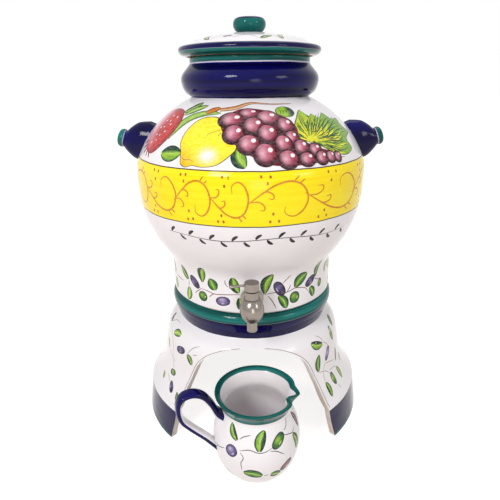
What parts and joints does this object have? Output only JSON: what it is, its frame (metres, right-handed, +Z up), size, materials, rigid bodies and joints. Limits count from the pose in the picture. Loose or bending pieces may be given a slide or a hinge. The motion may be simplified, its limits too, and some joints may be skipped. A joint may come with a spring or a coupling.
{
  "type": "oil jar",
  "caption": "Glazed ceramic oil jar with lug grips and a lift-off knobbed lid, seated on an arched stand, with a quarter-turn steel tap above a small handled pouring jug.",
  "frame": {"origin": "on the surface that the stand and the jug stand on, under the middle of the whole set's box; the jar's axis is upright at x 0, y 0.0243", "axes": "+Z up, -Y towards the front, where the tap and the jug are, +X to the right as seen from the front"},
  "size_m": [0.3234, 0.3446, 0.4928],
  "materials": {
    "white_glaze": "glossy white tin glaze with painted ornament",
    "cobalt_glaze": "glossy deep cobalt glaze",
    "teal_glaze": "glossy teal green glaze",
    "tap_steel": "turned stainless steel",
    "black_rubber": "matt black seal"
  },
  "bodies": {
    "stand": {"stand": "white_glaze"},
    "jar": {"jar": "white_glaze", "lug_left": "cobalt_glaze", "lug_right": "cobalt_glaze", "tap_barrel": "tap_steel", "tap_nozzle": "tap_steel", "tap_bonnet": "tap_steel", "tap_shank": "tap_steel", "tap_plate": "tap_steel", "outer_washer": "black_rubber", "inner_washer": "black_rubber", "steel_washer": "tap_steel", "lock_nut": "tap_steel"},
    "valve": {"valve_plug": "tap_steel", "lower_o_ring": "black_rubber", "upper_o_ring": "black_rubber", "cap_seal": "black_rubber", "tap_cap": "tap_steel", "tap_lever": "tap_steel"},
    "lid": {"lid": "white_glaze", "lid_knob": "teal_glaze"},
    "jug": {"jug": "white_glaze", "jug_handle": "cobalt_glaze"}
  },
  "joints": [
    {"name": "jar_lift", "type": "slide", "parent": "stand", "child": "jar", "axis": [0, 0, 1], "range_m": [0, 0.1]},
    {"name": "lid_lift", "type": "slide", "parent": "jar", "child": "lid", "axis": [0, 0, 1], "range_m": [0, 0.08]},
    {"name": "tap_turn", "type": "hinge", "parent": "jar", "child": "valve", "pos_m": [0, -0.106, 0.1971], "axis": [0, 0, 1], "range_deg": [0, 90]},
    {"name": "jug_slide", "type": "slide", "parent": "stand", "child": "jug", "axis": [0, -1, 0], "range_m": [0, 0.15]}
  ]
}
